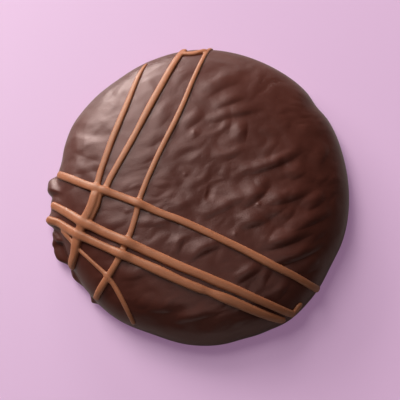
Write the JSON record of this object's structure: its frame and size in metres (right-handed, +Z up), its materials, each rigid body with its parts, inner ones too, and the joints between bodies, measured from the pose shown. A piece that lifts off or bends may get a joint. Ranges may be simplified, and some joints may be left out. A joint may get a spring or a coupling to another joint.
{
  "type": "chocolate lebkuchen",
  "caption": "Round gingerbread biscuit coated in dark chocolate, low and domed with a soft rolled edge, with crossing strands of milk chocolate drizzled over its top and sides.",
  "frame": {"origin": "on the flat resting face, under the middle of the whole outline", "axes": "+Z up through the crown, -Y towards the viewer, +X to the viewer's right; the thick runs of coating and the drizzle's rounded tips are at -X"},
  "size_m": [0.093, 0.0932, 0.0191],
  "materials": {
    "dark_chocolate": "set dark chocolate, satin, with flow ripples",
    "milk_chocolate": "drizzled milk chocolate, satin"
  },
  "bodies": {
    "root": {"lebkuchen": "dark_chocolate"}
  },
  "joints": []
}
